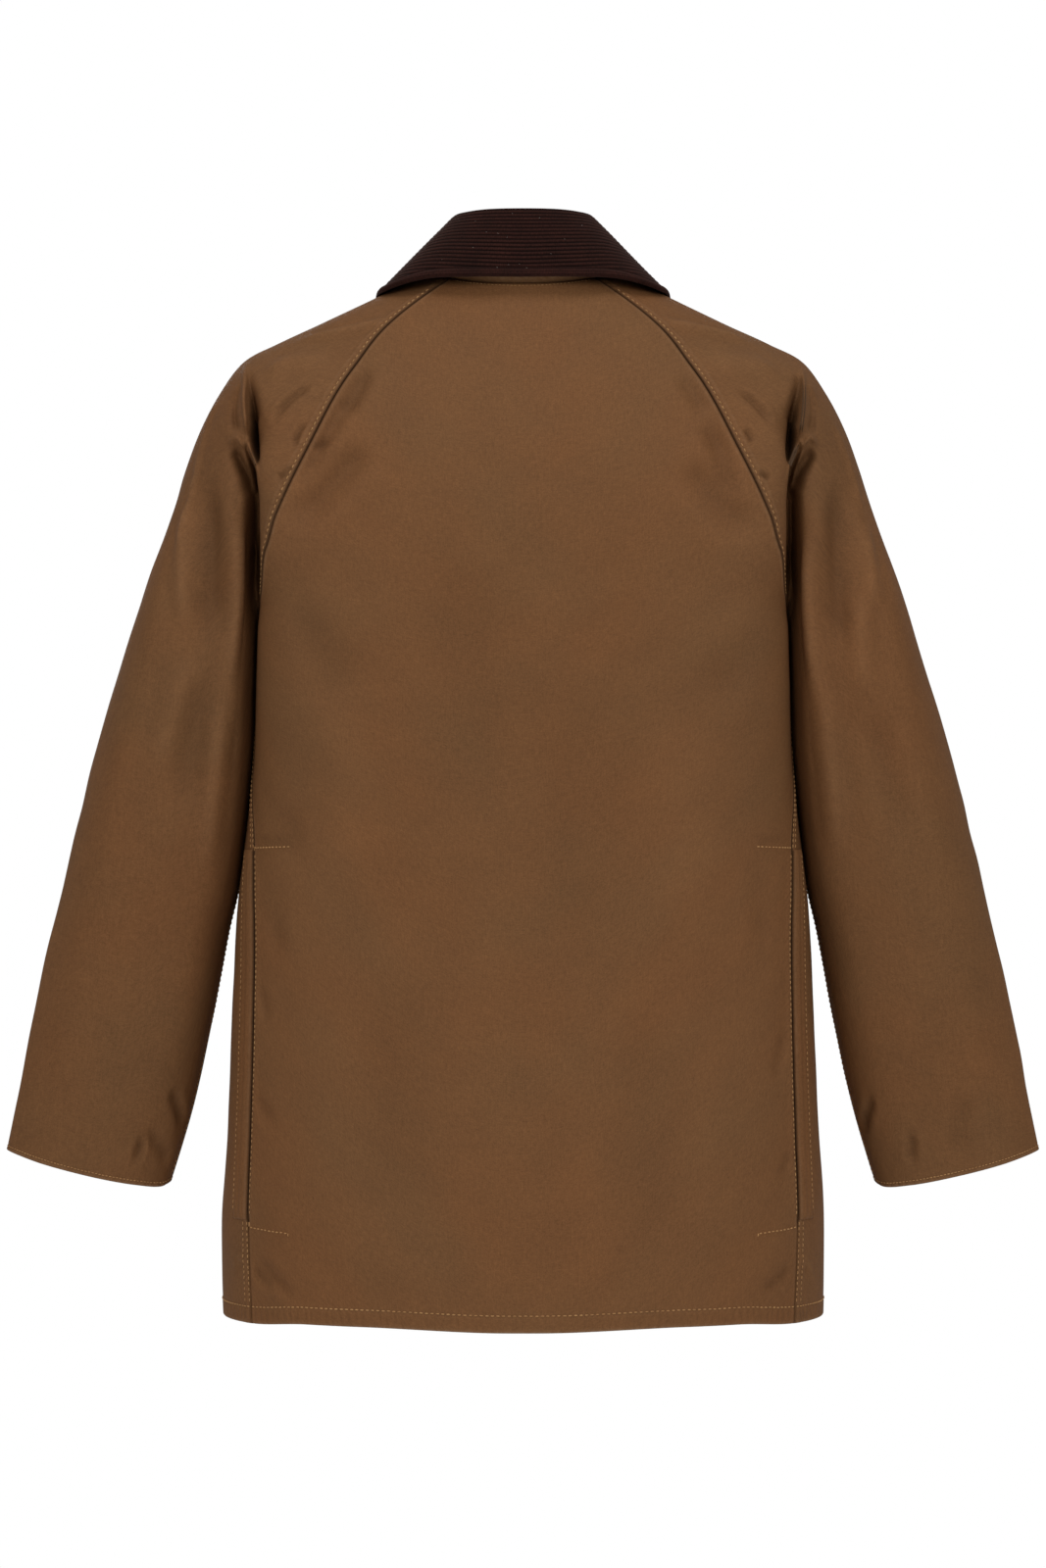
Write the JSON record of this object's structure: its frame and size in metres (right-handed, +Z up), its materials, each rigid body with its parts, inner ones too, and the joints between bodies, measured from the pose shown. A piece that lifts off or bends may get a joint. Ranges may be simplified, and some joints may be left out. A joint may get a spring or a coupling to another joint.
{
  "type": "waxed cotton jacket",
  "caption": "Thigh-length raglan jacket of brown waxed cotton with a corduroy collar, rear side-seam pockets and a plain stud front, filled out as when worn.",
  "frame": {"origin": "middle of the neck seam, level with its centre back, where the wearer's neck carries the jacket", "axes": "+Z up, +Y towards the back of the jacket, +X towards the wearer's left"},
  "size_m": [0.8192, 0.2951, 0.865],
  "materials": {
    "waxed_cotton": "waxy, low satin sheen",
    "corduroy": "ribbed cotton pile, matt",
    "aged_brass": "dulled, lightly worn"
  },
  "bodies": {
    "root": {"back_panel": "waxed_cotton", "front_left": "waxed_cotton", "front_right": "waxed_cotton", "sleeve_left": "waxed_cotton", "sleeve_right": "waxed_cotton", "collar_stand": "waxed_cotton", "pocket_welt_left": "waxed_cotton", "pocket_welt_right": "waxed_cotton", "collar_fall": "corduroy", "stud_1": "aged_brass", "stud_2": "aged_brass", "stud_3": "aged_brass", "stud_4": "aged_brass", "stud_5": "aged_brass"}
  },
  "joints": []
}
